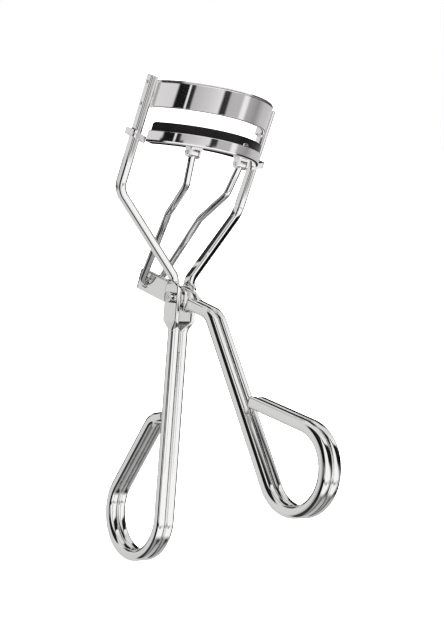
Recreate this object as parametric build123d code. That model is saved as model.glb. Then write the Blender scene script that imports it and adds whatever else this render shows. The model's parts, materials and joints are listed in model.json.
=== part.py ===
"""Eyelash curler: two finger-loop handles, a fixed curved clamp and a sliding padded jaw.

Frame: X is the jaw's width and the pivot's axis, +Z runs up the guide rails, -Y is the convex
side of the jaws.  The part is symmetric about X = 0.  It is modelled with the rails' top at
Z = 0 and moved at the end, so that the bounding box stands on Z = 0 with its centre on the axis.
All lengths are millimetres and all angles are degrees.
"""

import os
from math import cos, radians, sin, sqrt, tan

from build123d import *

# ---------------------------------------------------------------- guide rails and frame wires
RAIL_SPAN = 33.0          # width over the outer faces of the two rails
RAIL_T = 1.45             # rail thickness, along X
RAIL_D = 2.15             # rail depth, along Y
RAIL_H = 23.6             # rail height down to the corner of the upper bend
RAIL_EDGE_R = 0.35        # rounding of the rails' long edges
BEND_R = 4.0              # centre-line radius of the upper and lower bends
ARM_FOOT = 1.8            # arm's straight end inside the flattened ear

# ---------------------------------------------------------------- pivot
PIVOT_Y = -10.5           # pivot axis, forward of the rails' mid plane
PIVOT_Z = -41.5           # pivot axis, below the rails' top
PIN_R = 0.8               # rivet shank
PIN_FIT = 0.05            # radial running clearance of the lever on the shank
PIN_HEAD_R = 1.17
PIN_HEAD_H = 1.3
PIN_TAIL_R = 1.3          # flattened far head
PIN_TAIL_H = 0.6
PIN_HEAD_EDGE_R = 0.2     # rounding of the near head's rim
PIN_TAIL_EDGE_R = 0.35    # rounding of the far head's rim
WASHER_R = 2.0
WASHER_T = 0.3
FACE_FIT = 0.05           # side clearance of a washer between lever and ear

# ---------------------------------------------------------------- frame handle
EAR_T = 1.0               # flattened wire at the pivot
EAR_W = 4.65
EAR_UP = 4.3              # ear length above the pivot
EAR_DOWN = 4.4            # ear length below the pivot
EAR_BACK = 0.7            # ear centre line behind the pivot
ROD_W = 1.9               # handle wire, along X
ROD_D = 2.0               # handle wire, across its path
ROD_EDGE_R = 0.55
NECK = 3.2                # length of the taper between a flattened wire and the handle wire
NECK_OVERLAP = 1.0        # taper inside the rounded end of the ear
EAR_TUCK = 0.9            # taper narrower than the ear
FLAT_EDGE_R = 0.22        # rounding of a taper's corners where the wire is flat
EAR_END_R = 1.2           # rounding of the ear's corners
FRAME_LEAN = 21.9         # frame handle, forward of the rails' direction
FRAME_STEM = 45.5         # pivot to the start of the finger loop
FRAME_LOOP_R = 8.8
FRAME_LOOP_TURN = 216.2
FRAME_RETURN = 17.1       # straight way back up
FRAME_HOOK_R = 3.5        # last bend of the loop, towards the stem
FRAME_HOOK_TURN = 45.0
WELD_BITE = 0.3           # how far the loop's end is fused into the stem

# ---------------------------------------------------------------- lever handle
LEVER_T = 0.9             # flattened lever wire
LEVER_H = 4.4
LEVER_EDGE_R = 0.25       # rounding of the flattened stretch's front corners
LEVER_SLIT = 0.5          # gap between the two flattened strands
LEVER_PITCH = 4.65        # nose-up angle of the lever's forward arm
LEVER_ARM = 9.4           # pivot to the start of the bend
LEVER_FRONT = 2.9         # pivot to the end of the flattened stretch
LEVER_NECK = 1.9          # length of the taper to the handle wire
LEVER_REAR = 15.4         # pivot to the rear fold
LEVER_BEND_R = 5.0
LEVER_BEND_TURN = 40.55
LEVER_STEM = 35.9
LEVER_LOOP_R = 7.9
LEVER_LOOP_TURN = 224.6
LEVER_RETURN = 14.3
HOOK_REACH = 11.9         # pivot to the push rods' lower hooks
SLOT_L = 3.3              # elongated hole for a hook
SLOT_H = 2.5

# ---------------------------------------------------------------- upper clamp
JAW_CURVE = 1.0615         # clamp's convex radius against its half width at the rails
CLAMP_INSET = 0.165       # clamp's convex face inside the rails, on their mid plane
JAW_TILT = 16.5           # rise of the jaws' edges towards the convex side
CLAMP_T = 0.7
CLAMP_H = 5.5
CLAMP_DROP = 0.6          # clamp's top edge below the rails' top, at the rails
FLANGE_GRIP = 2.1         # length of the clamp's end flanges along Y
HEM_T = 0.35              # folded hem along the clamp's top edge
HEM_H = 0.8
RIVET_R = 0.32
RIVET_Z = (1.3, 5.3)      # rivets below the rails' top

# ---------------------------------------------------------------- sliding jaw
JAW_GAP = 2.8             # clamp's lower edge to the pad, with the jaws at rest
PAD_T = 2.2               # pad, across the curve
PAD_PROUD = 1.5           # pad above the channel's rim
PAD_SEAT = 1.9            # pad inside the channel
PAD_CROWN_R = 0.6         # rounding of the pad's top edges
PAD_END_R = 0.9           # rounding of the pad's ends
CHANNEL_T = 0.45
CHANNEL_SHIFT = 0.75      # channel's convex face forward of the clamp's
END_GAP = 0.35            # channel and pad ends clear of the rails
GUIDE_H = 2.1
GUIDE_WALL = 0.65
GUIDE_FIT = 0.25          # clearance of a guide round its rail
GUIDE_DROP = 0.6          # guide's top edge below the channel's rim, at the rails
GUIDE_EDGE_R = 0.6        # rounding of the guides' outer corners
GUIDE_SLOT_R = 0.2        # rounding of the guides' inner corners
CRIMP_W = 1.6             # small tab on the rim that grips the pad
CRIMP_H = 0.55
CRIMP_ROOT = 0.5          # crimp's depth below the rim
CRIMP_REACH = 3.0         # room that holds the crimp across the jaw
CRIMP_X = 3.2

# ---------------------------------------------------------------- push rods and their lugs
LUG_X = 6.3
LUG_IN = 0.727            # lugs' centre out from the channel's concave face
LUG_W = 2.8
LUG_WALL = 0.5
LUG_LEN = 1.9             # lug, along Y
LUG_DROP = 1.55           # lug pin below the channel's floor
LUG_PIN_R = 0.4
LUG_PIN_PROUD = 0.15      # lug pins' ends beyond the lugs
LUG_PIN_EDGE_R = 0.12     # rounding of the lug pins' ends
EYE_R = 0.85              # flattened upper end of a push rod
EYE_FIT = 0.1             # side clearance of the eye in its lug
EYE_BORE_FIT = 0.05       # radial clearance of the eye on the lug pin
LUG_ROOF = 0.25           # lug's bridge under the channel's floor
PUSH_R = 0.72             # push rod wire
PUSH_BEND_R = 3.0
PUSH_HOOK_BEND_R = 1.1
PUSH_KNEES = ((5.35, -7.3, -18.8), (4.15, -2.7, -25.9))
HOOK_CLEAR = 0.25         # push rod beside the lever
HOOK_END = 0.1            # hooks' ends outside the lever's slit

# ---------------------------------------------------------------- solder in the rods' groove
SOLDER_L = 9.0
SOLDER_START = 11.0       # start of the bead below the pivot, along the stem
SOLDER_DEPTH = 0.1        # bead below the rods' front faces

# ---------------------------------------------------------------- derived places
RAIL_OUT = RAIL_SPAN / 2
RAIL_IN = RAIL_OUT - RAIL_T
RAIL_MID = RAIL_OUT - RAIL_T / 2
JAW_CHORD = RAIL_IN - CLAMP_INSET
JAW_R = JAW_CURVE * JAW_CHORD
JAW_AXIS_Y = sqrt(JAW_R**2 - JAW_CHORD**2)
TILT_RISE = tan(radians(JAW_TILT))
LEVER_OUT = LEVER_SLIT / 2 + LEVER_T
EAR_IN = LEVER_OUT + WASHER_T + 2 * FACE_FIT
EAR_OUT = EAR_IN + EAR_T
EAR_MID = EAR_IN + EAR_T / 2
FRAME_HEADING = 270.0 - FRAME_LEAN
LEVER_HEADING = 180.0 - LEVER_PITCH
CLAMP_TOP = -CLAMP_DROP
CLAMP_LOW = CLAMP_TOP - CLAMP_H
PAD_TOP = CLAMP_LOW - JAW_GAP
RIM_Z = PAD_TOP - PAD_PROUD
FLOOR_Z = RIM_Z - PAD_SEAT - CHANNEL_T
CHANNEL_OUT_R = JAW_R + CHANNEL_SHIFT
PAD_OUT_R = CHANNEL_OUT_R - CHANNEL_T
PAD_IN_R = PAD_OUT_R - PAD_T
CHANNEL_IN_R = PAD_IN_R - CHANNEL_T
JAW_HALF = RAIL_IN - END_GAP
LUG_Y = JAW_AXIS_Y - sqrt((CHANNEL_IN_R + LUG_IN) ** 2 - LUG_X**2)
FAR = 60.0                # larger than any cut in the part

parts = {}


def heading_vector(angle):
    """Unit vector in the Y-Z plane, as (y, z), at an angle from +Y towards +Z."""
    return cos(radians(angle)), sin(radians(angle))


def trail(start, heading, steps):
    """Edges in (y, z) made by walking lines ("line", length) and arcs ("arc", radius, turn).

    A positive turn is from +Y towards +Z.  Returns the edges, the last point and heading.
    """
    edges = []
    y, z = start
    for step in steps:
        if step[0] == "line":
            dy, dz = heading_vector(heading)
            end = (y + step[1] * dy, z + step[1] * dz)
            edges.append(Line((y, z), end))
        else:
            radius, turn = step[1], step[2]
            side = 90.0 if turn > 0 else -90.0
            cy, cz = heading_vector(heading + side)
            centre = (y + radius * cy, z + radius * cz)
            points = []
            for part_turn in (turn / 2, turn):
                ry, rz = heading_vector(heading + part_turn - side)
                points.append((centre[0] + radius * ry, centre[1] + radius * rz))
            end = points[1]
            edges.append(ThreePointArc((y, z), points[0], end))
            heading += turn
        y, z = end
    return edges, (y, z), heading


def in_yz(shape, x):
    """Place a flat (y, z) shape in the plane X = x."""
    return Plane.YZ.offset(x) * shape


def rod(edges, x, width=ROD_W, depth=ROD_D, edge_r=ROD_EDGE_R):
    """A wire of rounded rectangular section swept along (y, z) edges at X = x."""
    path = in_yz(Wire([edge.edge() for edge in edges]), x)
    section = Plane(path @ 0, x_dir=(1, 0, 0), z_dir=path % 0) * RectangleRounded(width, depth, edge_r)
    return sweep(section, path=path)


def strip_plate(start, heading, length, width, x_in, thickness, end_r):
    """A flat strip lying along a heading in the Y-Z plane; end_r rounds its corners."""
    dy, dz = heading_vector(heading)
    middle = (start[0] + dy * length / 2, start[1] + dz * length / 2)
    flat = RectangleRounded(length, width, end_r) if end_r else Rectangle(length, width)
    outline = Pos(*middle) * Rot(0, 0, heading) * flat
    return extrude(in_yz(outline, x_in), thickness, dir=(1, 0, 0))


def taper(point_a, x_a, size_a, point_b, x_b, size_b, heading):
    """A loft between two rounded rectangles square to a heading, each (along X, across, corner radius)."""
    dy, dz = heading_vector(heading)
    faces = []
    for point, x, size in ((point_a, x_a, size_a), (point_b, x_b, size_b)):
        plane = Plane((x, point[0], point[1]), x_dir=(1, 0, 0), z_dir=(0, dy, dz))
        faces.append(plane * RectangleRounded(*size))
    return loft(faces)


def along(start, heading, length):
    """The (y, z) point a length away from start at a heading."""
    dy, dz = heading_vector(heading)
    return start[0] + dy * length, start[1] + dz * length


def x_cylinder(radius, x0, x1, y, z):
    """A cylinder along X from x0 to x1."""
    disc = in_yz(Pos(y, z) * Circle(radius), x0)
    return extrude(disc, x1 - x0, dir=(1, 0, 0))


def arc_band(r_out, r_in, half_width, z_top, z_low):
    """A curved wall of the jaws: a ring about the jaw axis, cut to width and tilted edges.

    z_top and z_low are heights at the rails' mid plane; the edges rise towards -Y.
    """
    ring = Pos(0, JAW_AXIS_Y) * (Circle(r_out) - Circle(r_in))
    reach = r_out + 1.0
    window = Pos(0, -reach / 2) * Rectangle(2 * half_width, reach)
    band = extrude(Pos(0, 0, -FAR / 2) * (ring & window), FAR)
    return band & tilted_slab(z_top, z_low)


def tilted_slab(z_top, z_low):
    """The space between two planes that rise towards -Y by the jaws' tilt."""
    outline = Polygon(
        (FAR, z_low - FAR * TILT_RISE),
        (FAR, z_top - FAR * TILT_RISE),
        (-FAR, z_top + FAR * TILT_RISE),
        (-FAR, z_low + FAR * TILT_RISE),
        align=None,
    )
    return extrude(in_yz(outline, -FAR / 2), FAR, dir=(1, 0, 0))


def tilted_z(z_at_rails, y):
    """Height at y of a jaw edge that stands at z_at_rails on the rails' mid plane."""
    return z_at_rails - y * TILT_RISE


def both_sides(name, shape):
    """Store a right-hand piece and its mirror image as two nodes."""
    parts[name + "_right"] = shape
    parts[name + "_left"] = mirror(shape, about=Plane.YZ)


# ================================================================ frame
pivot = (PIVOT_Y, PIVOT_Z)
ear_axis = along(pivot, FRAME_HEADING + 90.0, EAR_BACK)
ear_top = along(ear_axis, FRAME_HEADING, -EAR_UP)
ear_low = along(ear_axis, FRAME_HEADING, EAR_DOWN)
neck_low = along(ear_low, FRAME_HEADING, NECK)
stem_length = FRAME_STEM - EAR_DOWN - NECK


def frame_handle_rod(x):
    """The frame handle's wire below the ear: stem, finger loop and welded end."""
    edges, end, heading = trail(
        neck_low,
        FRAME_HEADING,
        [
            ("line", stem_length),
            ("arc", FRAME_LOOP_R, FRAME_LOOP_TURN),
            ("line", FRAME_RETURN),
            ("arc", FRAME_HOOK_R, FRAME_HOOK_TURN),
        ],
    )
    across_y, across_z = heading_vector(FRAME_HEADING + 90.0)
    distance = (end[0] - neck_low[0]) * across_y + (end[1] - neck_low[1]) * across_z
    toward_y, toward_z = heading_vector(heading)
    closing = -(toward_y * across_y + toward_z * across_z)
    last = (distance - ROD_D / 2 + WELD_BITE) / closing
    edges.append(Line(end, along(end, heading, last)))
    return rod(edges, x)


def frame_wire():
    """One frame wire: rail, spread arm, flattened ear, stem and finger loop."""
    arm_foot = along(ear_top, FRAME_HEADING, ARM_FOOT)
    arm_path = FilletPolyline(
        (RAIL_MID, 0, 0),
        (RAIL_MID, 0, -RAIL_H),
        (EAR_MID, ear_top[0], ear_top[1]),
        (EAR_MID, arm_foot[0], arm_foot[1]),
        radius=BEND_R,
    )
    section = Plane(arm_path @ 0, x_dir=(1, 0, 0), z_dir=arm_path % 0)
    section *= RectangleRounded(RAIL_T, RAIL_D, RAIL_EDGE_R)
    arm = sweep(section, path=arm_path)
    ear = strip_plate(ear_top, FRAME_HEADING, EAR_UP + EAR_DOWN, EAR_W, EAR_IN, EAR_T, EAR_END_R)
    keep_ear = Pos(EAR_IN + FAR / 2, 0, 0) * Box(FAR, 2 * FAR, 4 * FAR)
    neck = taper(
        along(ear_low, FRAME_HEADING, -NECK_OVERLAP), EAR_MID, (EAR_T, EAR_W - EAR_TUCK, FLAT_EDGE_R),
        neck_low, ROD_W / 2, (ROD_W, ROD_D, ROD_EDGE_R), FRAME_HEADING,
    )
    wire = (arm & keep_ear) + ear + neck + frame_handle_rod(ROD_W / 2)
    wire -= x_cylinder(PIN_R, 0, FAR, *pivot)
    for depth in RIVET_Z:
        wire -= x_cylinder(RIVET_R, 0, FAR, 0, -depth)
    return wire


both_sides("frame_wire", frame_wire())

# upper clamp: curved wall, hem and two end flanges
clamp = arc_band(JAW_R, JAW_R - CLAMP_T, RAIL_IN, CLAMP_TOP, CLAMP_LOW)
hem = arc_band(JAW_R - CLAMP_T, JAW_R - CLAMP_T - HEM_T, RAIL_IN - CLAMP_T, CLAMP_TOP, CLAMP_TOP - HEM_H)
clamp += hem
flange_box = Box(CLAMP_T, FLANGE_GRIP, CLAMP_H, align=(Align.MAX, Align.CENTER, Align.MAX))
for side in (1, -1):
    flange = Pos(RAIL_IN, 0, CLAMP_TOP) * flange_box
    clamp += flange if side > 0 else mirror(flange, about=Plane.YZ)
for depth in RIVET_Z:
    clamp -= x_cylinder(RIVET_R, -FAR, FAR, 0, -depth)
parts["upper_clamp"] = clamp

rivets = [x_cylinder(RIVET_R, RAIL_IN - CLAMP_T, RAIL_OUT, 0, -depth) for depth in RIVET_Z]
both_sides("clamp_rivets", Compound(children=[Solid(rivet.solid().wrapped) for rivet in rivets]))

# pivot rivet and washers
pin = x_cylinder(PIN_R, -EAR_OUT, EAR_OUT, *pivot)
head = x_cylinder(PIN_HEAD_R, -EAR_OUT - PIN_HEAD_H, -EAR_OUT, *pivot)
tail = x_cylinder(PIN_TAIL_R, EAR_OUT, EAR_OUT + PIN_TAIL_H, *pivot)
pin += fillet(head.edges().group_by(Axis.X)[0], PIN_HEAD_EDGE_R)
pin += fillet(tail.edges().group_by(Axis.X)[-1], PIN_TAIL_EDGE_R)
parts["pivot_rivet"] = pin
washer = x_cylinder(WASHER_R, EAR_IN - WASHER_T, EAR_IN, *pivot) - x_cylinder(PIN_R, 0, FAR, *pivot)
both_sides("pivot_washer", washer)

# ================================================================ lever
lever_front = along(pivot, LEVER_HEADING, LEVER_FRONT)
lever_rear = along(pivot, LEVER_HEADING, -LEVER_REAR)
lever_neck = along(lever_front, LEVER_HEADING, LEVER_NECK)
hook_point = along(pivot, LEVER_HEADING, -HOOK_REACH)


def lever_strand():
    """One strand of the lever wire, on the +X side, without its rear fold."""
    plate_length = LEVER_REAR + LEVER_FRONT - LEVER_OUT
    fold_start = along(lever_rear, LEVER_HEADING, LEVER_OUT)
    plate = strip_plate(
        fold_start, LEVER_HEADING, plate_length, LEVER_H, LEVER_SLIT / 2, LEVER_T, LEVER_EDGE_R
    )
    square_end = strip_plate(
        fold_start, LEVER_HEADING, plate_length / 2, LEVER_H, LEVER_SLIT / 2, LEVER_T, 0.0
    )
    neck = taper(
        along(lever_front, LEVER_HEADING, -LEVER_EDGE_R), LEVER_OUT - LEVER_T / 2,
        (LEVER_T, LEVER_H - 2 * LEVER_EDGE_R, FLAT_EDGE_R),
        lever_neck, ROD_W / 2, (ROD_W, ROD_D, ROD_EDGE_R), LEVER_HEADING,
    )
    edges, _, _ = trail(
        lever_neck,
        LEVER_HEADING,
        [
            ("line", LEVER_ARM - LEVER_FRONT - LEVER_NECK),
            ("arc", LEVER_BEND_R, LEVER_BEND_TURN),
            ("line", LEVER_STEM),
            ("arc", LEVER_LOOP_R, -LEVER_LOOP_TURN),
            ("line", LEVER_RETURN),
        ],
    )
    strand = plate + square_end + neck + rod(edges, ROD_W / 2)
    end = edges[-1] @ 1
    nose = x_cylinder(ROD_D / 2, 0, ROD_W, end.X, end.Y)
    return strand + nose


def lever_fold():
    """The rear fold that joins the two flattened strands."""
    ring = Circle(LEVER_OUT) - Circle(LEVER_SLIT / 2)
    half = ring & (Pos(LEVER_OUT, 0) * Rectangle(2 * LEVER_OUT, 4 * LEVER_OUT))
    centre = along(lever_rear, LEVER_HEADING, LEVER_OUT)
    back_y, back_z = heading_vector(LEVER_HEADING + 180.0)
    plane = Plane((0, centre[0], centre[1]), x_dir=(0, back_y, back_z), z_dir=(0, -back_z, back_y))
    return extrude(plane * half, LEVER_H / 2, both=True)


strand = lever_strand()
lever = strand + mirror(strand, about=Plane.YZ) + lever_fold()
lever -= x_cylinder(PIN_R + PIN_FIT, -FAR, FAR, *pivot)
slot = Pos(*hook_point) * Rot(0, 0, LEVER_HEADING) * SlotOverall(SLOT_L, SLOT_H)
lever -= extrude(in_yz(slot, -FAR / 2), FAR, dir=(1, 0, 0))
parts["lever_wire"] = lever


def solder_bead(stem_start, heading, front_side, wires):
    """Solder that fills the groove between two touching rods on the stem's front side."""
    middle = along(stem_start, heading, SOLDER_L / 2)
    centre = along(middle, heading + front_side, ROD_D / 2 - SOLDER_DEPTH - ROD_EDGE_R / 2)
    dy, dz = heading_vector(heading)
    plane = Plane((0, centre[0], centre[1]), x_dir=(1, 0, 0), z_dir=(0, dy, dz))
    bead = extrude(plane * Rectangle(ROD_EDGE_R, ROD_EDGE_R), SOLDER_L / 2, both=True)
    for wire in wires:
        bead -= wire
    return max(bead.solids(), key=lambda solid: solid.volume)


frame_bead_start = along(ear_axis, FRAME_HEADING, SOLDER_START)
parts["solder_frame_handle"] = solder_bead(
    frame_bead_start, FRAME_HEADING, -90.0, (parts["frame_wire_right"], parts["frame_wire_left"])
)
_, lever_bend_end, stem_heading = trail(
    lever_neck,
    LEVER_HEADING,
    [("line", LEVER_ARM - LEVER_FRONT - LEVER_NECK), ("arc", LEVER_BEND_R, LEVER_BEND_TURN)],
)
parts["solder_lever_handle"] = solder_bead(
    along(lever_bend_end, stem_heading, SOLDER_START / 2), stem_heading, -90.0, (lever,)
)

# ================================================================ sliding jaw
channel = arc_band(CHANNEL_OUT_R, CHANNEL_IN_R, JAW_HALF, RIM_Z, FLOOR_Z)
channel -= arc_band(PAD_OUT_R, PAD_IN_R, FAR / 2, PAD_TOP, FLOOR_Z + CHANNEL_T)
rim_y = JAW_AXIS_Y - sqrt(CHANNEL_OUT_R**2 - CRIMP_X**2)
crimp = arc_band(CHANNEL_OUT_R, PAD_OUT_R, FAR / 2, RIM_Z + CRIMP_H, RIM_Z - CRIMP_ROOT)
crimp &= Pos(CRIMP_X, rim_y, RIM_Z) * Box(CRIMP_W, CRIMP_REACH, FAR)
channel += crimp
parts["pad_channel"] = channel

pad = arc_band(PAD_OUT_R, PAD_IN_R, JAW_HALF, PAD_TOP, FLOOR_Z + CHANNEL_T)
pad = fillet(pad.edges().filter_by(Axis.Z), PAD_END_R)
pad_top = pad.faces().filter_by(lambda face: face.normal_at().Z > 0.9)
pad = fillet(pad_top[0].edges(), PAD_CROWN_R)
parts["silicone_pad"] = pad

# guide ears round the rails
guide_top = RIM_Z - GUIDE_DROP
slot_x0 = RAIL_IN - GUIDE_FIT
slot_x1 = RAIL_OUT + GUIDE_FIT
slot_half = RAIL_D / 2 + GUIDE_FIT
guide_place = Pos((slot_x0 + slot_x1) / 2, 0, guide_top - GUIDE_H)
guide_outer = RectangleRounded(
    slot_x1 - slot_x0 + 2 * GUIDE_WALL, 2 * (slot_half + GUIDE_WALL), GUIDE_EDGE_R
)
guide_slot = RectangleRounded(slot_x1 - slot_x0, 2 * slot_half, GUIDE_SLOT_R)
guide = extrude(guide_place * (guide_outer - guide_slot), GUIDE_H)
guide -= channel
guide -= pad
both_sides("jaw_guide", max(guide.solids(), key=lambda solid: solid.volume))

# lugs, their pins and the push rods
lug_floor = tilted_z(FLOOR_Z, LUG_Y)
lug_pin_z = lug_floor - LUG_DROP
lug_side = in_yz(Pos(LUG_Y, lug_pin_z) * Circle(LUG_LEN / 2), LUG_X - LUG_W / 2)
lug_upper = in_yz(
    Pos(LUG_Y, lug_pin_z) * Rectangle(LUG_LEN, 2 * LUG_DROP, align=(Align.CENTER, Align.MIN)),
    LUG_X - LUG_W / 2,
)
lug = extrude(lug_side + lug_upper, LUG_W, dir=(1, 0, 0))
lug &= tilted_slab(FLOOR_Z, FLOOR_Z - FAR / 4)
slot_roof = lug_floor - LUG_ROOF - TILT_RISE * LUG_LEN / 2
lug -= Pos(LUG_X, LUG_Y, slot_roof) * Box(
    LUG_W - 2 * LUG_WALL, 2 * LUG_LEN, FAR / 4, align=(Align.CENTER, Align.CENTER, Align.MAX)
)
lug -= x_cylinder(LUG_PIN_R, 0, FAR, LUG_Y, lug_pin_z)
both_sides("push_rod_lug", lug)

lug_pin_half = LUG_W / 2 + LUG_PIN_PROUD
lug_pin = x_cylinder(LUG_PIN_R, LUG_X - lug_pin_half, LUG_X + lug_pin_half, LUG_Y, lug_pin_z)
both_sides("lug_pin", fillet(lug_pin.edges(), LUG_PIN_EDGE_R))

eye_half = LUG_W / 2 - LUG_WALL - EYE_FIT
hook_x = LEVER_OUT + HOOK_CLEAR + PUSH_R
push_path = FilletPolyline(
    (LUG_X, LUG_Y, lug_pin_z),
    *PUSH_KNEES,
    (hook_x, *hook_point),
    (LEVER_SLIT / 2 + HOOK_END, *hook_point),
    radius=(PUSH_BEND_R, PUSH_BEND_R, PUSH_HOOK_BEND_R),
)
push_section = Plane(push_path @ 0, z_dir=push_path % 0) * Circle(PUSH_R)
push_rod = sweep(push_section, path=push_path)
push_rod += x_cylinder(EYE_R, LUG_X - eye_half, LUG_X + eye_half, LUG_Y, lug_pin_z)
push_rod -= x_cylinder(LUG_PIN_R + EYE_BORE_FIT, 0, FAR, LUG_Y, lug_pin_z)
push_rod = max(push_rod.solids(), key=lambda solid: solid.volume)
both_sides("push_rod", push_rod)

# ================================================================ placing and writing
whole = Compound(children=[Solid.cast(solid.wrapped) for shape in parts.values() for solid in shape.solids()])
box = whole.bounding_box()
place = Pos(0, -(box.min.Y + box.max.Y) / 2, -box.min.Z)
os.makedirs("parts", exist_ok=True)
for name, shape in parts.items():
    solids = shape.solids()
    node = place * (solids[0] if len(solids) == 1 else Compound(children=list(solids)))
    export_step(node, os.path.join("parts", name + ".step"))
    print(f"{name}: {len(solids)} solid(s), {sum(solid.volume for solid in solids):.2f} mm3")
print("moved by", place.position)
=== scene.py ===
"""Looks of a chrome eyelash curler: wires, sheet jaws, rivets and the silicone pad.

Sizes are in millimetres and angles in degrees, and MM turns a size into Blender's metres.  Places
come from the boxes of the loaded frame.  X is the pivot's axis, +Z runs up the guide rails and -Y is
the convex side of the jaws.  NEAR is how close a point must lie to count as being at a place.
"""

from __future__ import annotations

import json
import logging
import math
from dataclasses import dataclass
from enum import Enum
from typing import Callable, Sequence

import bmesh
import bpy
from mathutils import Matrix, Vector

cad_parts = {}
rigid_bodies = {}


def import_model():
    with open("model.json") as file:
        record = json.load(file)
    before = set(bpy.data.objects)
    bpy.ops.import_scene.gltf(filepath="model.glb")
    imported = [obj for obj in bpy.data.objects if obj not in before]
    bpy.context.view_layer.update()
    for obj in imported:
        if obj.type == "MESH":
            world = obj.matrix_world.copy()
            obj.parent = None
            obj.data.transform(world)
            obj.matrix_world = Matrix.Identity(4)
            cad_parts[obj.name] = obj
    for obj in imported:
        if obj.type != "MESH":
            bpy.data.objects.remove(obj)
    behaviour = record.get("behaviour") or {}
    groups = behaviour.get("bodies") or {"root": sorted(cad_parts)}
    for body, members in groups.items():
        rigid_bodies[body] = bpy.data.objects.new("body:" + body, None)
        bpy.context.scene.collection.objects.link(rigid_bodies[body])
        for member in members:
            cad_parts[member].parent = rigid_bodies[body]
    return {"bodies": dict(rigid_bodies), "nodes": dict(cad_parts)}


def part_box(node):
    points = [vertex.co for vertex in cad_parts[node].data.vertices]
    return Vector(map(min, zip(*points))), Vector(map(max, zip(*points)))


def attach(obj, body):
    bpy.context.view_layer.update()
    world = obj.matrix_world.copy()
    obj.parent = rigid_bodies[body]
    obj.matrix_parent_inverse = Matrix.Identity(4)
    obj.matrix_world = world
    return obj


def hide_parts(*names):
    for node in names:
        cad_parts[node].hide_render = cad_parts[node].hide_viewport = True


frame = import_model()

MM = 0.001
NEAR = 0.001
LOG = logging.getLogger("lash_curler")
X_AXIS = Vector((1.0, 0.0, 0.0))
Z_AXIS = Vector((0.0, 0.0, 1.0))


# ================================================================ shader helpers
class Signal:
    """A number in a node tree; Python's operators on it add Math nodes."""

    def __init__(self, tree: bpy.types.NodeTree, socket: bpy.types.NodeSocket) -> None:
        """Wraps one output socket."""
        self.tree = tree
        self.socket = socket

    def combine(self, operation: str, *values: Signal | float) -> Signal:
        """Adds a Math node.

        Args:
            operation: the Math node's operation.
            values: its inputs, as signals or plain numbers.

        Returns:
            The node's result.
        """
        node = self.tree.nodes.new("ShaderNodeMath")
        node.operation = operation
        for place, value in enumerate(values):
            if isinstance(value, Signal):
                self.tree.links.new(value.socket, node.inputs[place])
            else:
                node.inputs[place].default_value = value
        return Signal(self.tree, node.outputs[0])

    def __add__(self, other: Signal | float) -> Signal:
        """Sum."""
        return self.combine("ADD", self, other)

    def __mul__(self, other: Signal | float) -> Signal:
        """Product."""
        return self.combine("MULTIPLY", self, other)

    def __pow__(self, other: float) -> Signal:
        """Power."""
        return self.combine("POWER", self, other)

    __radd__ = __add__
    __rmul__ = __mul__


class Graph:
    """A node tree that is filled through one method."""

    def __init__(self, tree: bpy.types.NodeTree) -> None:
        """Empties the tree."""
        tree.nodes.clear()
        self.tree = tree

    def node(
        self,
        kind: str,
        settings: dict[str, object] | None = None,
        inputs: dict[str | int, object] | None = None,
        stops: Sequence[tuple[float, Sequence[float]]] = (),
    ) -> bpy.types.Node:
        """Adds a node.

        Args:
            kind: the node's type.
            settings: properties that are set before anything else.
            inputs: a value, a socket or a Signal for each input, by name or number.
            stops: places and colours of a ramp's stops.

        Returns:
            The new node.
        """
        node = self.tree.nodes.new(kind)
        for key, value in (settings or {}).items():
            setattr(node, key, value)
        if stops:
            ramp = node.color_ramp
            while len(ramp.elements) < len(stops):
                ramp.elements.new(1.0)
            for element, (place, color) in zip(ramp.elements, stops):
                element.position = place
                element.color = color
        for key, value in (inputs or {}).items():
            if isinstance(value, Signal):
                self.tree.links.new(value.socket, node.inputs[key])
            elif isinstance(value, bpy.types.NodeSocket):
                self.tree.links.new(value, node.inputs[key])
            else:
                node.inputs[key].default_value = value
        return node

    def signal(self, socket: bpy.types.NodeSocket) -> Signal:
        """Wraps a socket for arithmetic."""
        return Signal(self.tree, socket)

    def noise(self, where: bpy.types.NodeSocket, scale: float, detail: float = 3.0) -> Signal:
        """A noise value on a vector.

        Args:
            where: the coordinates.
            scale: cells per metre.
            detail: octaves.

        Returns:
            The noise as a number about one half.
        """
        made = self.node("ShaderNodeTexNoise", {}, {"Vector": where, "Scale": scale, "Detail": detail})
        return self.signal(made.outputs["Fac"])

    def mix(self, share: Signal, first: object, second: object) -> bpy.types.NodeSocket:
        """Mixes two colours.

        Args:
            share: the second colour's share.
            first: a colour, or the socket of one.
            second: a colour, or the socket of one.

        Returns:
            The mixed colour.
        """
        inputs = {"Factor": share, "A": first, "B": second}
        return self.node("ShaderNodeMix", {"data_type": "RGBA"}, inputs).outputs["Result"]


def grey(value: float) -> tuple[float, float, float, float]:
    """An opaque neutral colour."""
    return value, value, value, 1.0


def paint_color(color: Sequence[float], strength: float = 1.0) -> tuple[float, ...]:
    """An opaque colour, weakened or strengthened."""
    return *(part * strength for part in color), 1.0


def new_material(name: str) -> tuple[bpy.types.Material, Graph]:
    """Makes an empty material.

    Args:
        name: its name.

    Returns:
        The material and its node tree.
    """
    material = bpy.data.materials.new(name)
    material.use_nodes = True
    return material, Graph(material.node_tree)


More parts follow.
